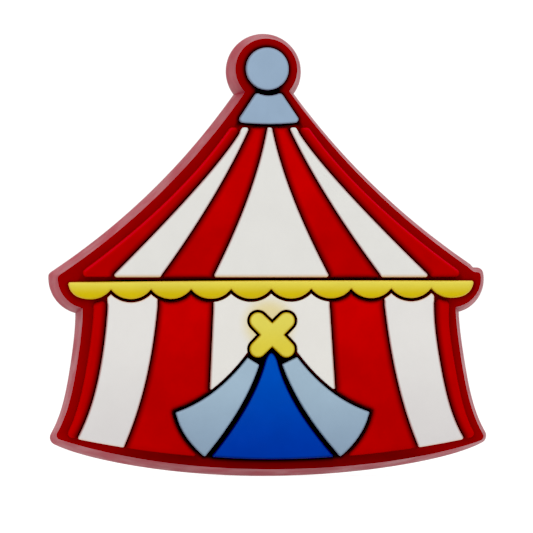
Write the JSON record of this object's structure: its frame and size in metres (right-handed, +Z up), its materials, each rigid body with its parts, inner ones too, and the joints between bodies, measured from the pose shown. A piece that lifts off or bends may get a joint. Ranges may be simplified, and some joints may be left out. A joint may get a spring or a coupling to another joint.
{
  "type": "carnival tent shoe charm",
  "caption": "Flat soft-PVC shoe charm shaped as a striped carnival tent, with raised coloured panels, tied-back curtains, and a button stud on its flat back.",
  "frame": {"origin": "on the axis of the fastening stud, in the plane of the charm's flat back", "axes": "+Z up the height of the tent, +X to the right across it, +Y out of the back along the stud, so the picture side looks towards -Y"},
  "size_m": [0.0284, 0.0086, 0.0286],
  "materials": {
    "base_red": "satin soft PVC",
    "panel_red": "satin soft PVC",
    "white": "satin soft PVC",
    "light_blue": "satin soft PVC",
    "yellow": "satin soft PVC",
    "blue": "satin soft PVC",
    "clear_plastic": "milky moulded plastic"
  },
  "bodies": {
    "root": {"base": "base_red", "finial_ball": "light_blue", "finial_cone": "light_blue", "roof_red_outer_left": "panel_red", "roof_white_left": "white", "roof_red_inner_left": "panel_red", "roof_white_centre": "white", "roof_red_inner_right": "panel_red", "roof_white_right": "white", "roof_red_outer_right": "panel_red", "valance": "yellow", "wall_red_outer_left": "panel_red", "wall_white_left": "white", "wall_red_inner_left": "panel_red", "wall_white_centre": "white", "wall_red_inner_right": "panel_red", "wall_white_right": "white", "wall_red_outer_right": "panel_red", "curtain_left": "light_blue", "curtain_right": "light_blue", "door": "blue", "knot": "yellow", "stud": "clear_plastic"}
  },
  "joints": []
}
